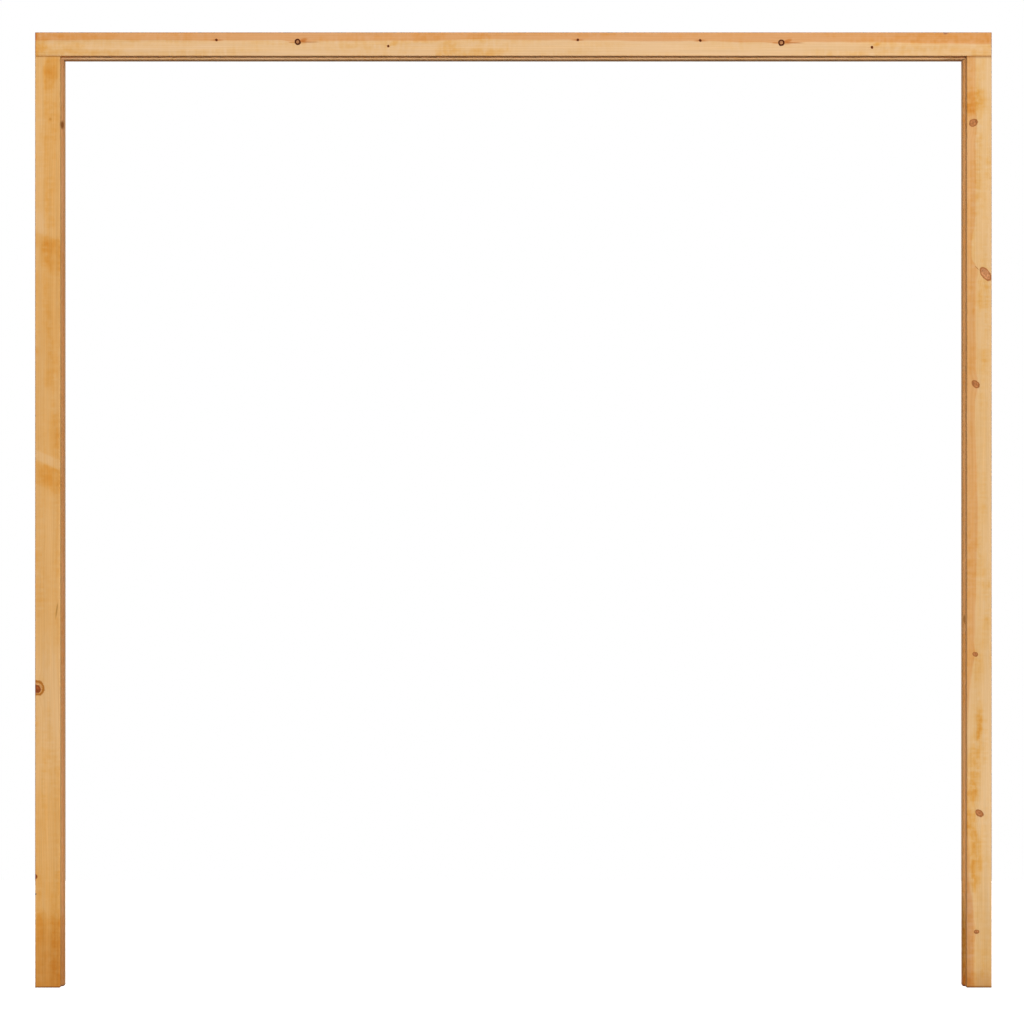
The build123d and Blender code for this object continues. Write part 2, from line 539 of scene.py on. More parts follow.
# %% Kinds of knot
KNOT_SOCKETS = ("Core", "Rim", "Rim Start", "Rim Strength", "Flame Tint", "Heart Strength")
KNOT_LOOKS = {
    "dead": (colour(186, 128, 82), colour(80, 32, 8), 0.41, 1.0, (0.86, 0.70, 0.52, 1), 0.2),
    "live": (colour(184, 120, 72), colour(150, 84, 38), 0.62, 0.65, (0.98, 0.93, 0.85, 1), 0.25),
    "pale": (colour(196, 136, 92), colour(172, 106, 60), 0.70, 0.9, (1.0, 0.96, 0.90, 1), 0.35),
    "red": (colour(158, 84, 38), colour(132, 60, 22), 0.50, 0.6, (1.0, 0.97, 0.92, 1), 0.3),
    "collar": (colour(218, 160, 98), colour(176, 108, 36), 0.62, 0.95, (0.99, 0.95, 0.86, 1), 0.0),
    "pin": (colour(96, 40, 8), colour(118, 56, 20), 0.7, 0.6, (0.80, 0.62, 0.46, 1), 0.8),
}
print("kinds of knot:", ", ".join(KNOT_LOOKS))

# %% [markdown]
# ## A brushed coat
# The frame has had one coat of oak-coloured stain, put on by brush. A coat like that is
# never even. Rather than mix an orange over the wood in blots, this group only says how
# deep the stain lies, with 1 for a plain coat. Long noises stand for the strokes of the
# brush. Inside a full stroke, shorter ones say how the wood took it up, and narrow ones
# across the grain show the marks that the planer's knives had left.

# %% A brushed coat
BRUSH_STROKES = (45, 45, 4.5)  # to a metre across and along
STROKE_SWING = 1.5
FULL_STROKE = (0.40, 0.66)  # values of the strokes' noise where a full one begins
STAIN_BLOTS = (95, 95, 60)
BLOT_SWING = 1.6
BLOT_EDGE = (0.25, 0.75)
KNIFE_MARKS = (35, 35, 135)
KNIFE_SWING = 1.1  # in a full stroke
FAINT_KNIFE_SWING = 0.25  # everywhere

tree, given, result = new_group(
    "brushed_coat",
    {"Vector": (0, 0, 0), "Coat": 1.0, "Unevenness": 1.0},
    {"Depth": 1.0, "Blots": 0.5},
)
strokes = noise(tree, given["Vector"], BRUSH_STROKES)
blots = noise(tree, given["Vector"], STAIN_BLOTS, 3.0)
knife_marks = noise(tree, given["Vector"], KNIFE_MARKS, 1.0)
faint_marks = swing(tree, knife_marks, FAINT_KNIFE_SWING)
taken_up = plus(tree, swing(tree, blots, BLOT_SWING), swing(tree, knife_marks, KNIFE_SWING))
in_stroke_depth = times(tree, taken_up, smooth_step(tree, strokes, *FULL_STROKE))
stroke_depth = plus(tree, swing(tree, strokes, STROKE_SWING), faint_marks)
both = plus(tree, stroke_depth, in_stroke_depth)
unevenness = times(tree, both, given["Unevenness"])
brushed_coat = finish_group(tree, result, {
    "Depth": plus(tree, given["Coat"], unevenness),
    "Blots": smooth_step(tree, plus(tree, blots, faint_marks), *BLOT_EDGE),
})

# %% [markdown]
# ## Patches of deeper stain
# Where the brush had just been filled, or went over twice, the coat is deeper, with a
# slanting edge where the stroke ended. Such a patch is a soft box in the timber with a
# ragged edge, and it adds to the depth, or takes from it where the coat was wiped. The
# blots of the coat run through it as far as Blotting says, so that it is nowhere a
# plain wash.

# %% Patches of deeper stain
ROUNDNESS = 0.5  # of a patch: 0 makes it a box and 1 a ball
RAGS = (90, 90, 40)  # in its edge, to a metre across and along

tree, given, result = new_group(
    "stain_patch",
    {
        "Vector": (0, 0, 0), "Depth": 1.0, "Blots": 0.5, "Middle": (0, 0, 0),
        "Half Size": (1, 1, 1), "Slant": 0.0, "Softness": 0.35, "Blotting": 0.9, "Extra": 1.0,
    },
    {"Depth": 1.0},
)
from_middle = vector_maths(tree, "SUBTRACT", given["Vector"], given["Middle"])
parts = parts_of(tree, from_middle)
slanted = maths(tree, "MULTIPLY_ADD", parts["X"], given["Slant"], parts["Z"])
place = vector_of(tree, parts["X"], parts["Y"], slanted)
share = vector_maths(tree, "ABSOLUTE", vector_maths(tree, "DIVIDE", place, given["Half Size"]))
box_and_ball = {0: ROUNDNESS, 2: largest_part(tree, share), 3: length_of(tree, share)}
between = node(tree, "ShaderNodeMix", box_and_ball, data_type="FLOAT").outputs[0]
ragged = swing(tree, noise(tree, given["Vector"], RAGS, 3.0), given["Softness"])
start = minus(tree, 1.0, given["Softness"])
end = plus(tree, 1.0, given["Softness"])
mask = fading(tree, plus(tree, between, ragged), start, end)
blotting = times(tree, minus(tree, given["Blots"], 0.5), given["Blotting"])
extra = times(tree, given["Extra"], plus(tree, blotting, 1.0))
deeper = maths(tree, "MULTIPLY_ADD", mask, extra, given["Depth"])
stain_patch = finish_group(tree, result, {"Depth": deeper})

# %% [markdown]
# ## The stain itself
# Each further film of stain takes the same share out of the light once more, so what
# is left is the share that one film lets through, raised to the power of the depth. That
# is why deep stain turns orange and not grey: a film lets nearly all red through, and
# only two thirds of the blue.

# %% The stain itself
tree, given, result = new_group(
    "stain",
    {"Color": WHITE, "Depth": 1.0, "Film": (0.97, 0.89, 0.70, 1)},
    {"Color": WHITE},
)
depth = maths(tree, "MAXIMUM", given["Depth"], 0.0)
film = node(tree, "ShaderNodeSeparateColor", {"Color": given["Film"]}).outputs
let_through = {name: maths(tree, "POWER", film[name], depth) for name in ("Red", "Green", "Blue")}
films = node(tree, "ShaderNodeCombineColor", let_through).outputs["Color"]
stain = finish_group(tree, result, {"Color": tinted(tree, 1.0, given["Color"], films)})

# %% [markdown]
# ## Small marks
# A few marks are neither knots nor patches: a streak of pitch, a bruise on an arris, dirt
# in the rebate, a run of stain under an edge. Each is a soft lens in the timber, which
# may lean to one side, and it multiplies the colour by a tint of its own. A tint under 1
# darkens, and one over 1 lightens, as where an arris was rubbed thin.

# %% Small marks
MARK_FADE = (0.45, 1.1)  # in half sizes from its middle

tree, given, result = new_group(
    "mark",
    {
        "Vector": (0, 0, 0), "Color": WHITE, "Middle": (0, 0, 0), "Half Size": (1, 1, 1),
        "Slant": 0.0, "Tint": (0.5, 0.4, 0.3, 1),
    },
    {"Color": WHITE},
)
from_middle = vector_maths(tree, "SUBTRACT", given["Vector"], given["Middle"])
parts = parts_of(tree, from_middle)
moved = maths(tree, "MULTIPLY_ADD", parts["Z"], given["Slant"], parts["X"])
place = vector_of(tree, moved, parts["Y"], parts["Z"])
reach = length_of(tree, vector_maths(tree, "DIVIDE", place, given["Half Size"]))
inside = fading(tree, reach, *MARK_FADE)
mark = finish_group(tree, result, {"Color": tinted(tree, inside, given["Color"], given["Tint"])})

# %% [markdown]
# ## Thirsty edges
# Sawn ends and rounded arrises drink more stain than a planed face, and so do the first
# few millimetres of a face beside a sawn end. Which way the surface looks tells them
# apart: along the timber on a sawn end, and between two faces on an arris.

# %% Thirsty edges
ENDWISE = (0.55, 0.85)  # a surface that looks more than this along the timber is an end
SQUARE = (0.90, 0.995)  # and one that looks less than this one way is an arris

tree, given, result = new_group(
    "thirsty_edges",
    {
        "Vector": (0, 0, 0), "Normal": (0, 0, 1), "Color": WHITE, "Start": 0.0, "End": 1.0,
        "Soak": 0.003, "End Tint": (0.6, 0.45, 0.3, 1), "Arris Tint": (0.8, 0.7, 0.6, 1),
    },
    {"Color": WHITE, "End Grain": 0.0},
)
position = parts_of(tree, given["Vector"])["Z"]
from_start = minus(tree, position, given["Start"])
from_end = minus(tree, given["End"], position)
soaked = fading(tree, maths(tree, "MINIMUM", from_start, from_end), 0.0, given["Soak"])
facing = vector_maths(tree, "ABSOLUTE", given["Normal"])
endwise = parts_of(tree, facing)["Z"]
end_grain = smooth_step(tree, endwise, *ENDWISE)
drunk = maths(tree, "MAXIMUM", end_grain, soaked)
darker = tinted(tree, drunk, given["Color"], given["End Tint"])
arris = fading(tree, largest_part(tree, facing), *SQUARE)
thirsty_edges = finish_group(tree, result, {
    "Color": tinted(tree, arris, darker, given["Arris Tint"]),
    "End Grain": end_grain,
})

# %% [markdown]
# ## Where the heartwood ends
# A trunk's heartwood does not taper evenly, so its boundary rises and sinks by some
# millimetres along a face. Noise could do that, but not so that it runs as it does on
# this very piece. A Float Curve does: it follows a few points read off along the face.

# %% Where the heartwood ends
FACE = front_y / MM
BACK = high.y / MM


def heart_radii(pith, points):
    """Radii of the heartwood, from where on the face it ends: places along and across."""
    return [(along, math.hypot(across - pith[0], pith[1] - FACE)) for along, across in points]


def heart_line(tree, position, points):
    """The heartwood's radius along a timber, from points of (place, radius) in millimetres."""
    places = [place * MM for place, radius in points]
    radii = [radius * MM for place, radius in points]
    least, most = min(radii), max(radii)
    length = places[-1] - places[0]
    sockets = {"Value": position, "From Min": places[0], "From Max": places[-1]}
    share = node(tree, "ShaderNodeMapRange", sockets).outputs["Result"]
    graph = node(tree, "ShaderNodeFloatCurve", {"Value": share})
    line = graph.mapping.curves[0]
    line.points[0].location = (0.0, (radii[0] - least) / (most - least))
    line.points[1].location = (1.0, (radii[-1] - least) / (most - least))
    for place, radius in list(zip(places, radii))[1:-1]:
        line.points.new((place - places[0]) / length, (radius - least) / (most - least))
    graph.mapping.update()
    return maths(tree, "MULTIPLY_ADD", graph.outputs["Value"], most - least, least)


print("face at", round(FACE), "and back at", round(BACK), "mm")

# %% [markdown]
# ## One timber from its groups
# Every member is laid out in its own timber space: X and Y across the grain and Z along
# it. The jambs stand that way already, and a Mapping node turns the head into it. What
# can be seen on a member is kept in short lists, in millimetres, and the functions below
# put one group for each knot and each patch. Most patches and marks lie on the front
# face, so a row says only where one is on it, and half its width and length. What goes
# deeper or lies elsewhere has its middle and half size in full.

# %% One timber from its groups
BEHIND_FACE = 20  # how far a patch or mark on the face reaches into the wood


def patch(across, along, wide, long, extra, slant=0.0, softness=0.5):
    """A patch on the face: its middle, half size, slant, softness and extra depth."""
    return (across, FACE, along), (wide, BEHIND_FACE, long), slant, softness, extra


def spot(across, along, wide, long, tint, slant=0.0):
    """A mark on the face: its middle, half size, slant and tint."""
    return (across, FACE, along), (wide, BEHIND_FACE, long), slant, tint


def in_metres(*values):
    """A point or a size in metres from one in millimetres."""
    return tuple(value * MM for value in values)


def grow_branches(tree, place, root, knots):
    """Puts a branch group for each knot; gives their kinds and outputs, and how the rings swell."""
    swell = 0.0
    branches = []
    for kind, middle, size, lean, flame_length, flame_shift in knots:
        grown = placed(tree, branch, {
            "Vector": place,
            "Root": in_metres(*root, middle[2] - lean),
            "Middle": in_metres(*middle),
            "Size": size * MM,
            "Flame Length": flame_length,
            "Flame Shift": flame_shift * MM,
            "Swell": swell,
        }, {})
        if kind != "collar":  # the knot inside a collar swells the rings already
            swell = grown["Swell"]
        branches.append((kind, grown))
    return branches, swell


def stain_depth(tree, place, look, patches):
    """How deep the stain lies on a member: its coat and, one by one, its patches."""
    coat = placed(tree, brushed_coat, {"Vector": place}, look)
    depth = coat["Depth"]
    for middle, half_size, slant, softness, extra in patches:
        depth = placed(tree, stain_patch, {
            "Vector": place,
            "Depth": depth,
            "Blots": coat["Blots"],
            "Middle": in_metres(*middle),
            "Half Size": in_metres(*half_size),
            "Slant": slant,
            "Softness": softness,
            "Extra": extra,
        }, look)["Depth"]
    return depth


print("patches reach", BEHIND_FACE, "mm into the wood")

# %% [markdown]
# ## The material of a timber
# Here the groups come together: the timber grew, was stained, shows its knots, got its
# marks, and drank at its edges. What a member has of its own is its look, in which a key
# with a capital is the name of a socket. A long tree for each member would do as well,
# but a change to the wood would have to be made four times. Only the shader is not in a
# group. Its gloss is the low sheen of a thin stain, a little rougher on end grain, and a
# faint bump lets the fibres and the late wood stand up as they do after planing.

# %% The material of a timber
UPRIGHT = (0.0, 0.0, 0.0)
LYING = (0.0, math.radians(-90), 0.0)  # X becomes Z, and Z becomes -X
END_ROUGHNESS = 0.15  # what end grain and fibres add to the roughness
FIBRE_ROUGHNESS = 0.08
LATE_RELIEF = 0.4  # height of the late wood beside that of the fibres
BUMP_STRENGTH = 0.35
BUMP_DEPTH = 0.0003


def timber(name, turn, pith, look, ends, heart, knots=(), patches=(), marks=()):
    """The material of one member: its rings, branches, stain, marks and sheen."""
    material = bpy.data.materials.new(name)
    material.use_nodes = True
    tree = material.node_tree
    coordinates = node(tree, "ShaderNodeTexCoord").outputs
    place, facing = [
        node(tree, "ShaderNodeMapping", {"Vector": coordinates[kind], "Rotation": turn}).outputs[0]
        for kind in ("Object", "Normal")
    ]
    position = parts_of(tree, place)["Z"]
    branches, swell = grow_branches(tree, place, look.get("branch_root", pith), knots)
    rings = placed(tree, growth_rings, {
        "Vector": place,
        "Pith": in_metres(*pith, 0.0),
        "Swell": swell,
    }, look)
    wood = placed(tree, softwood, {
        "Vector": place,
        "Radius": rings["Radius"],
        "Late Wood": times(tree, rings["Late Wood"], look["late_strength"]),
        "Heart Radius": heart_line(tree, position, heart),
    }, look)
    depth = stain_depth(tree, place, look, patches)
    shade = placed(tree, stain, {"Color": wood["Color"], "Depth": depth}, look)["Color"]
    for kind, grown in branches:
        shade = placed(tree, knot_wood, {
            "Vector": place,
            "Color": shade,
            "Reach": grown["Reach"],
            "Flame": grown["Flame"],
        }, dict(zip(KNOT_SOCKETS, KNOT_LOOKS[kind])))["Color"]
    for middle, half_size, slant, tint in marks:
        shade = placed(tree, mark, {
            "Vector": place,
            "Color": shade,
            "Middle": in_metres(*middle),
            "Half Size": in_metres(*half_size),
            "Slant": slant,
            "Tint": (*tint, 1.0),
        }, {})["Color"]
    edges = placed(tree, thirsty_edges, {
        "Vector": place,
        "Normal": facing,
        "Color": shade,
        "Start": ends[0] * MM,
        "End": ends[1] * MM,
    }, look)
    surface = tree.nodes["Principled BSDF"]
    surface.inputs["Specular IOR Level"].default_value = look["sheen"]
    tree.links.new(edges["Color"], surface.inputs["Base Color"])
    dry_end = maths(tree, "MULTIPLY_ADD", edges["End Grain"], END_ROUGHNESS, look["roughness"])
    roughness = maths(tree, "MULTIPLY_ADD", wood["Fibre"], FIBRE_ROUGHNESS, dry_end)
    tree.links.new(roughness, surface.inputs["Roughness"])
    relief = maths(tree, "MULTIPLY_ADD", rings["Late Wood"], LATE_RELIEF, wood["Fibre"])
    sockets = {"Height": relief, "Strength": BUMP_STRENGTH, "Distance": BUMP_DEPTH}
    bump = node(tree, "ShaderNodeBump", sockets)
    tree.links.new(bump.outputs["Normal"], surface.inputs["Normal"])
    print(name, len(tree.nodes), "nodes,", len(branches), "branches,", len(patches), "patches")
    return material


def finish_node(name, material):
    """Gives a ready-made piece its material."""
    slots = frame["nodes"][name].data.materials
    slots.clear()
    slots.append(material)


STAINED_PINE = {  # what all three lengths have in common
    "Ring Width": 2.6 * MM,
    "Wander": 3.0 * MM,
    "late_strength": 0.5,
    "Late Tint": (0.93, 0.85, 0.76, 1),
    "Heartwood": colour(222, 166, 114),
    "Heart Edge": 1.2 * MM,
    "Streaks": 0.09,
    "Coat": 1.0,
    "Unevenness": 1.0,
    "Blotting": 0.9,
    "Film": (0.97, 0.885, 0.69, 1),
    "Soak": 2.5 * MM,
    "End Tint": (0.60, 0.48, 0.36, 1),
    "Arris Tint": (0.64, 0.50, 0.36, 1),
    "roughness": 0.75,
    "sheen": 0.1,
}
print("stained pine with rings", STAINED_PINE["Ring Width"] / MM, "mm wide")

# %% [markdown]
# ## The head
# The head was sawn beside the heart of its tree, which lay behind and above it, so the
# boundary of the heartwood runs all along the face a third of the way down. Its knots
# sit near that boundary at about two hands' distance: pin knots with a short flame,
# dead knots with a black rim, and dots. Its branches bend and meet the face nearly
# square, so their cones start just above it and not at the pith. The picture does not
# show the back, where three live knots stand for what such timber has all round.

# %% The head
HEAD_TOP = frame_height / MM
HEAD_HALF = frame_width / 2 / MM
HEAD_PITH = (-(HEAD_TOP + 47), 30)

HEAD_LOOK = {
    **STAINED_PINE,
    "branch_root": (-(HEAD_TOP + 5), 30),
    "Ring Width": 3.2 * MM,
    "Sapwood": colour(231, 192, 146),
    "Coat": 0.35,
    "Unevenness": 0.7,
}


def below_top(down):
    """How far down the head a place is, in its timber space."""
    return down - HEAD_TOP


head_edge = [  # place along the head, and how far down its face the heartwood ends
    (-1129, 17.5), (-1061, 17.5), (-966, 15.5), (-872, 16), (-683, 17), (-500, 18),
    (-400, 19), (-211, 20), (-117, 18), (72, 19), (261, 19.5), (355, 18.5), (450, 20),
    (733, 21.5), (922, 24), (1129, 27),
]
head_heart = heart_radii(HEAD_PITH, [(along, below_top(down)) for along, down in head_edge])
head_knots = [  # kind, middle, size, lean of the branch, length and shift of the flame
    ("pin", (below_top(18), FACE, -701), 3.2, 12, 18.0, 5),
    ("dead", (below_top(22.5), FACE, -509), 7.0, 10, 3.2, 9),
    ("pin", (below_top(32.5), FACE, -295.5), 3.0, 8, 2.0, 0),
    ("pin", (below_top(17.8), FACE, 152), 3.2, -12, 18.0, 5),
    ("pin", (below_top(19), FACE, 441), 3.2, 12, 18.0, 5),
    ("dead", (below_top(24.5), FACE, 632.6), 7.0, 10, 3.2, 9),
    ("pin", (below_top(35.4), FACE, 846.5), 3.0, 8, 2.0, 0),
    ("live", (below_top(30), BACK, -812), 5.5, 8, 1.8, 0),
    ("live", (below_top(36), BACK, 74), 6.6, -10, 1.8, 0),
    ("live", (below_top(27), BACK, 905), 5.0, 6, 1.8, 0),
]
print(len(head_knots), "knots in the head")

# %% [markdown]
# ## The stain on the head
# The coat is thin here. It is deeper at both ends, in a few long strokes and in small
# spots above two of the dots. The two undersides get a painted shade, warmer and darker,
# and the lower arris of the stop a darker painted shade. The resin that bled from the
# dead knots has drawn streaks along the grain. These could be painted on the faces, but
# as rows for the two groups they lie in the solid, and a stroke runs on over an arris.

# %% The stain on the head
# Rows of a patch: down, along, half width, half length, extra depth, slant, softness
head_patches = [patch(below_top(down), *rest) for down, *rest in [
    (36, -1117, 24, 15, 1.3, 0.15, 0.3),
    (28, -1128, 40, 8, 1.9, 0.0, 0.4),
    (28, -1095, 40, 34, 0.45),
    (36, -1010, 26, 100, 0.4, 0.0, 0.6),
    (38, -1036, 19, 20, 0.6, 0.1, 0.3),
    (49, -975, 8, 52, 0.9),
    (8, -985, 14, 85, 0.7, 0.0, 0.6),
    (10, -203, 13, 42, 0.8),
    (38, -157, 19, 24, 0.8, 0.4, 0.3),
    (47, -97, 9, 78, 0.9),
    (13, -80, 10, 27, 0.9),
    (26, -283, 6, 8, 1.6, 0.4),
    (28, 858, 5, 7, 1.6, 0.4),
    (30, 960, 44, 150, 0.3),
    (8, 1020, 14, 110, 0.8, 0.0, 0.6),
    (28, 1118, 30, 12, 0.5),
    (49, 1035, 10, 32, 0.4),
    (50, 1095, 8, 16, 0.7),
]]
BRUISE = (0.62, 0.56, 0.74)
SPLIT = (0.66, 0.44, 0.30)
RESIN = (0.86, 0.66, 0.46)
UNDERSIDE_PAINTED_SHADE = (1.02, 0.80, 0.64)  # painted shade: a warmer, darker tint over the head's undersides
STOP_ARRIS_PAINTED_SHADE = (0.60, 0.55, 0.48)  # painted shade on the lower arris of the stop
ALL_ALONG = 2600  # half the length of a mark that runs from end to end
# Rows of a mark: down, along, half width, half length, tint, slant
head_marks = [spot(below_top(down), *rest) for down, *rest in [
    (23, -479, 1.4, 26, SPLIT),
    (25, 664, 1.4, 26, SPLIT),
    (18, -495, 5, 11, RESIN, 0.25),
    (20, 648, 5, 11, RESIN, 0.25),
    (24, -523, 2, 9, RESIN),
    (25, 619, 2, 9, RESIN),
    (10, -1129, 12, 6, RESIN),
]] + [
    ((below_top(1), FACE, 1020), (5, 8, 7), 0.0, BRUISE),
    # painted shade under the head: both undersides, then the lower arris of the stop
    ((below_top(56), -25, 0), (1.5, 40, ALL_ALONG), 0.0, UNDERSIDE_PAINTED_SHADE),
    ((below_top(62), 25, 0), (1.5, 40, ALL_ALONG), 0.0, UNDERSIDE_PAINTED_SHADE),
    ((below_top(62), -3, 0), (2.6, 2.6, ALL_ALONG), 0.0, STOP_ARRIS_PAINTED_SHADE),
]
head_timber = timber(
    "head_timber", LYING, HEAD_PITH, HEAD_LOOK, (-HEAD_HALF, HEAD_HALF),
    head_heart, head_knots, head_patches, head_marks)
finish_node("head", head_timber)

# %% [markdown]
# ## The left jamb
# All of this length is sapwood. Its pith lay far behind the opening, so the rings stand
# close together along the outer arris and spread towards the inner one. The only large
# knot lies in a swollen collar at the outer arris. Two live ones are placed on the outer
# side, which the picture doesn't show.

# %% The left jamb
SHOULDER = 2199  # top of a jamb's face, under the head
LEFT_PITH = (-1030, 130)
LEFT_LOOK = {
    **STAINED_PINE,
    "Ring Width": 2.2 * MM,
    "late_strength": 0.45,
    "Sapwood": colour(229, 184, 128),
    "Unevenness": 0.75,
    "Blotting": 0.4,
    "Streaks": 0.11,
    "Soak": 4 * MM,
}
left_heart = [(0, 60), (SHOULDER, 64)]  # so small that it stays behind the timber
left_knots = [
    ("collar", (-1126, FACE, 707), 17.5, 6, 1.5, 0),
    ("red", (-1126, FACE, 705), 9.4, 6, 1.2, 0),
    ("red", (-1131, FACE, 262), 6.6, 6, 2.2, 0),
    ("pin", (-1129, FACE, 221), 2.6, 6, 1.6, 0),
    ("live", (-1129, 2, 1534), 8.0, 24, 1.8, 0),
    ("live", (-1129, -9, 986), 6.5, 18, 1.8, 0),
]
print(len(left_knots), "knots in the left jamb")

# %% [markdown]
# ## The stain on the left jamb
# This length took the stain unevenly: there is a deep patch under the head, long blots
# below it, two strokes with slanting edges, and a strong patch at the foot, where the
# wood is brown and the stop was wiped. The inner arris of the face gets a painted
# highlight, and the stop in the rebate a painted shade. Most rows are strokes on the
# face, and those after them go right through the timber.

# %% The stain on the left jamb
left_patches = [patch(*row) for row in [
    (-1088, 2174, 17, 26, 1.5, 0.0, 0.4),
    (-1095, 2150, 15, 30, 1.5, 0.0, 0.4),
    (-1091, 1975, 16, 175, 0.55, 0.0, 0.6),
    (-1113, 1802, 14, 24, -0.8, 0.37, 0.4),
    (-1097, 1754, 50, 19, 0.6, 0.37, 0.2),
    (-1086, 1728, 30, 36, 1.3, 0.37, 0.4),
    (-1092, 1590, 16, 140, 0.7, 0.0, 0.6),
    (-1095, 1437, 13, 22, 0.7),
    (-1084, 1308, 12, 52, 0.9, 0.0, 0.4),
    (-1097, 1245, 50, 12, -0.9, 0.47, 0.3),
    (-1097, 1203, 50, 28, 0.7, 0.47, 0.2),
    (-1103, 1208, 17, 22, 1.0, 0.2),
    (-1085, 1200, 18, 32, 0.6, 0.2),
    (-1118, 1950, 10, 230, -0.4, 0.0, 0.6),
    (-1092, 1000, 40, 160, -0.2),
    (-1092, 640, 40, 150, -0.7),
    (-1096, 690, 13, 100, -0.4, 0.0, 0.6),
    (-1097, 355, 50, 110, 0.5),
    (-1097, 220, 50, 60, 0.5, 0.0, 0.6),
    (-1078, 85, 14, 92, 0.7, 0.0, 0.4),
    (-1116, 140, 9, 42, 1.2),
    (-1085, 195, 18, 40, 0.5),
    (-1078, 20, 22, 40, 0.5),
]] + [
    ((-1097, 0, 60), (90, 90, 115), 0.1, 0.1, 1.5),
    ((-1067, 14, 60), (6, 40, 125), 0.0, 0.3, -1.4),
]
PITCH = (0.68, 0.64, 0.50)
REBATE_DIRT = (0.46, 0.33, 0.20)
FAINT_SPOT = (0.86, 0.76, 0.60)
PAST_BOTH_ENDS = 2400
# painted highlight along the inner arris of the face
ARRIS_PAINTED_HIGHLIGHT = (1.5, 1.7, 1.9)
# painted shade over the stop in the rebate
STOP_PAINTED_SHADE = (0.82, 0.76, 0.92)
LEFT_FOOT = (0.86, 0.77, 0.66)
SAWN_FOOT = (0.66, 0.58, 0.50)
MIDDLE_PAINTED_SHADE = (0.94, 0.92, 0.88)  # painted shade: both jambs a little darker at middle height
left_marks = [spot(*row) for row in [
    (-1078, 890, 2.4, 22, PITCH, -0.13),
    (-1093, 2050, 4, 4, FAINT_SPOT),
]] + [
    # painted shade: a little darker at middle height
    ((-1090, 0, 1270), (200, 200, 820), 0.0, MIDDLE_PAINTED_SHADE),
    ((-1068, -12, 2039), (5, 42, 12), 0.0, REBATE_DIRT),
    # painted highlight on the inner arris, then painted shade on the stop
    ((-1070, FACE, 1100), (1.8, 1.8, PAST_BOTH_ENDS), 0.0, ARRIS_PAINTED_HIGHLIGHT),
    ((-1067, 14, 1100), (6, 40, PAST_BOTH_ENDS), 0.0, STOP_PAINTED_SHADE),
    ((-1090, 0, -10), (120, 120, 215), 0.0, LEFT_FOOT),
    ((-1097, 0, 0), (200, 200, 4.2), 0.0, SAWN_FOOT),
]
left_timber = timber(
    "left_jamb_timber", UPRIGHT, LEFT_PITH, LEFT_LOOK, (0, SHOULDER),
    left_heart, left_knots, left_patches, left_marks)
finish_node("left_jamb", left_timber)

# %% [markdown]
# ## The right jamb
# Its pith lay behind the opening, so the inner third of the face is heartwood and the
# rest sapwood. The boundary runs nearly straight down the upper two thirds, dips in
# beside the biggest knot, almost leaves the face below and comes back towards the foot.
# The live knots are red-brown, cut round or slanting as the branch happened to lean.
# Three more are placed on the outer side and the back.

# %% The right jamb
REBATE_EDGE = 1070  # the inner edge of the face, from the middle of the frame
RIGHT_PITH = (1040, 30)
RIGHT_LOOK = {
    **STAINED_PINE,
    "Sapwood": colour(229, 190, 140),
    "Heartwood": colour(223, 172, 117),
    "Coat": 0.55,
    "Soak": 7 * MM,
}
right_edge = [  # height, and how far over the face the heartwood reaches
    (0, 21), (110, 23), (200, 20), (290, 8), (560, 4), (740, 9), (880, 18), (1150, 22),
    (1340, 18), (1460, 23), (1640, 22), (1695, 23), (1728, 11), (1800, 18), (1950, 22),
    (2040, 20), (SHOULDER, 20),
]
right_heart = heart_radii(RIGHT_PITH, [(up, REBATE_EDGE + over) for up, over in right_edge])
right_knots = [
    ("live", (1085, FACE, 2041), 8.6, 20, 1.8, 0),
    ("pale", (1113.5, FACE, 1686), 9.6, -100, 1.6, 0),
    ("live", (1090.8, FACE, 1425), 7.5, -60, 1.8, 0),
    ("live", (1090, FACE, 787), 5.3, -14, 1.8, 0),
    ("live", (1099.5, FACE, 412), 7.4, -50, 1.8, 0),
    ("live", (1093, FACE, 132), 4.8, -2, 1.8, 0),
    ("live", (1129, 14, 1830), 7.5, 14, 1.8, 0),
    ("live", (1129, 24, 1008), 9.0, 20, 1.8, 0),
    ("live", (1110, BACK, 1260), 5.0, 10, 1.8, 0),
]
print(len(right_knots), "knots in the right jamb")

# %% [markdown]
# ## The stain on the right jamb
# The coat is thinner than on the left jamb, but with strong short blots beside the knots
# in the lower third, and a deep one on the foot of the stop. A small crack runs out of
# the biggest knot, and there is some dirt in the corner of the rebate. The lower part of
# the stop also gets a painted shade.

# %% The stain on the right jamb
right_patches = [patch(*row) for row in [
    (1092, 2091, 20, 28, 1.3, 0.0, 0.4),
    (1081, 2076, 11, 14, 0.9),
    (1108, 2092, 16, 26, 0.7),
    (1110, 1560, 16, 200, -0.25, 0.0, 0.6),
    (1127, 1400, 9, 500, -0.5),
    (1110, 1425, 20, 110, 0.3),
    (1109, 1635, 12, 37, 0.9),
    (1100, 1485, 28, 36, 0.6, 0.0, 0.6),
    (1114, 842, 9, 36, 0.8),
    (1095, 766, 30, 42, 0.7, 0.0, 0.6),
    (1100.5, 622, 7, 40, 1.8),
    (1086, 530, 16, 55, 1.0),
    (1084, 459, 14, 20, 1.7),
    (1080, 388, 11, 29, 1.7),
    (1092.6, 301, 12, 62, 1.8),
    (1118, 600, 10, 330, -0.5, 0.0, 0.6),
    (1080, 330, 13, 120, 0.6),
    (1098, 90, 50, 110, 0.5),
    (1078, 18, 16, 22, 0.6),
    (1080, 150, 12, 80, -0.55),
]] + [
    ((1066, 14, 70), (6, 45, 100), 0.0, 0.25, 2.2),
    ((1066, 14, 110), (6, 45, 160), 0.0, 0.25, 0.8),
]
CORNER_DIRT = (0.60, 0.55, 0.46)
CRACK = (0.62, 0.48, 0.38)
GREYER_EDGE = (0.88, 0.84, 0.90)
# painted shade on the lower part of the stop
STOP_FOOT_PAINTED_SHADE = (0.72, 0.78, 0.70)
FAINT_GREY = (0.95, 0.94, 0.92)
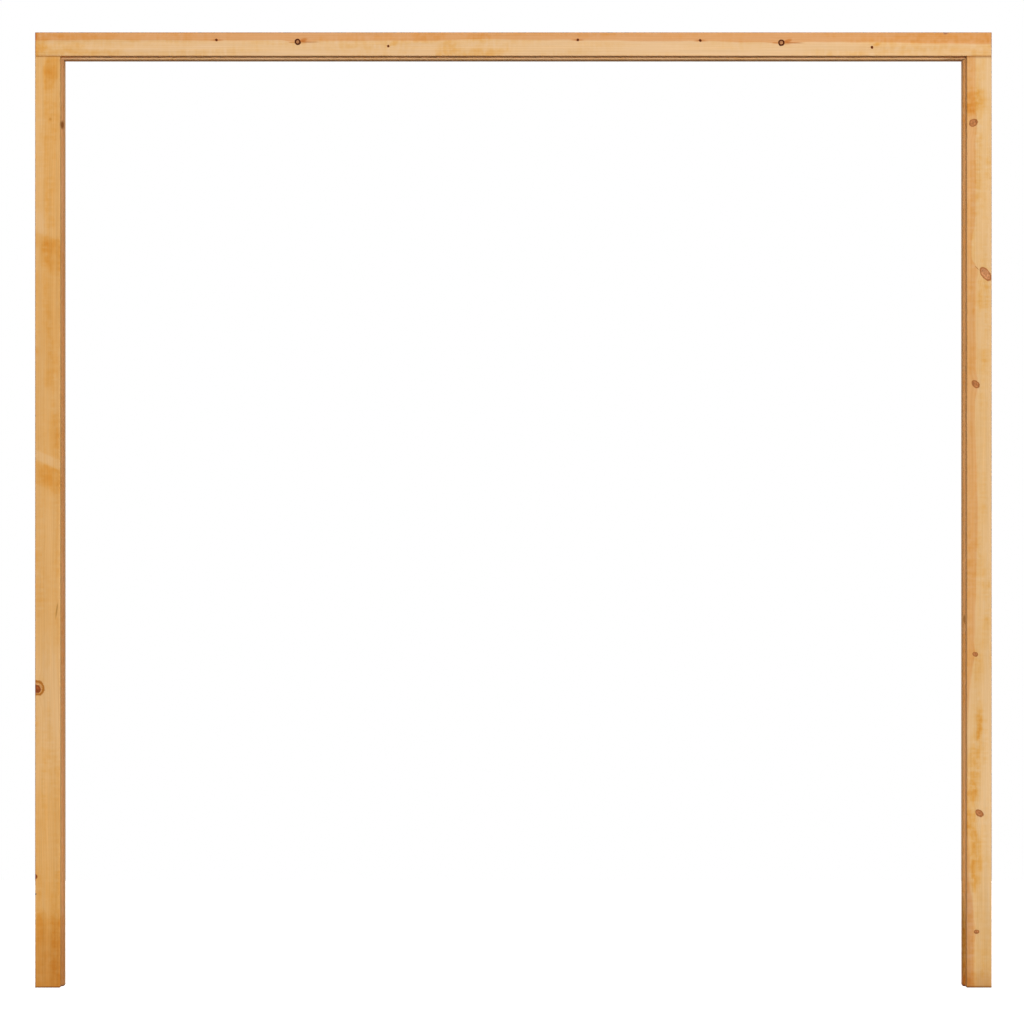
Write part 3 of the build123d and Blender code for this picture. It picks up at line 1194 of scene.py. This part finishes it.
RIGHT_FOOT = (0.83, 0.71, 0.59)
right_marks = [spot(*row) for row in [
    (1094, 1699, 1.6, 6, CRACK, 0.9),
    (1074, 130, 14, 210, GREYER_EDGE),
    (1110, 100, 30, 200, FAINT_GREY),
]] + [
    # painted shade: a little darker at middle height
    ((1090, 0, 1230), (200, 200, 820), 0.0, MIDDLE_PAINTED_SHADE),
    ((1068, -3, 869), (3, 10, 13), 0.0, CORNER_DIRT),
    # painted shade on the lower part of the stop
    ((1066, 14, 112), (6, 42, 130), 0.0, STOP_FOOT_PAINTED_SHADE),
    ((1098, 0, -30), (120, 120, 90), 0.0, RIGHT_FOOT),
    ((1097, 0, 0), (200, 200, 4.2), 0.0, SAWN_FOOT),
]
right_timber = timber(
    "right_jamb_timber", UPRIGHT, RIGHT_PITH, RIGHT_LOOK, (0, SHOULDER),
    right_heart, right_knots, right_patches, right_marks)
finish_node("right_jamb", right_timber)

# %% [markdown]
# ## The wedges
# Each tenon is spread by two hardwood wedges, cut off flush, so that only their ends
# show on top of the head. Groups of their own aren't needed for them: with closer rings,
# a browner wood and no branches, the same ones make a plain hardwood.

# %% The wedges
WEDGE_LOOK = {
    **STAINED_PINE,
    "Ring Width": 1.6 * MM,
    "Wander": 1.0 * MM,
    "late_strength": 0.8,
    "Late Tint": (0.80, 0.72, 0.66, 1),
    "Sapwood": colour(186, 136, 92),
    "Heartwood": colour(176, 120, 76),
    "Streaks": 0.10,
    "Coat": 0.5,
    "Unevenness": 0.3,
}
WEDGE_PITH = (0, 140)
wedge_heart = [(0, 1990), (HEAD_TOP, 2000)]  # so wide that all of a wedge lies inside
wedge_wood = timber(
    "wedge_hardwood", UPRIGHT, WEDGE_PITH, WEDGE_LOOK, (0, HEAD_TOP), wedge_heart)
wedges = [name for name in frame["nodes"] if name.endswith("wedge")]
for name in wedges:
    finish_node(name, wedge_wood)
print(len(wedges), "wedges")

# %% [markdown]
# ## View transform
# The finish must not change the size of the frame. The view transform is set to Standard.

# %% View transform
bpy.context.scene.view_settings.view_transform = "Standard"
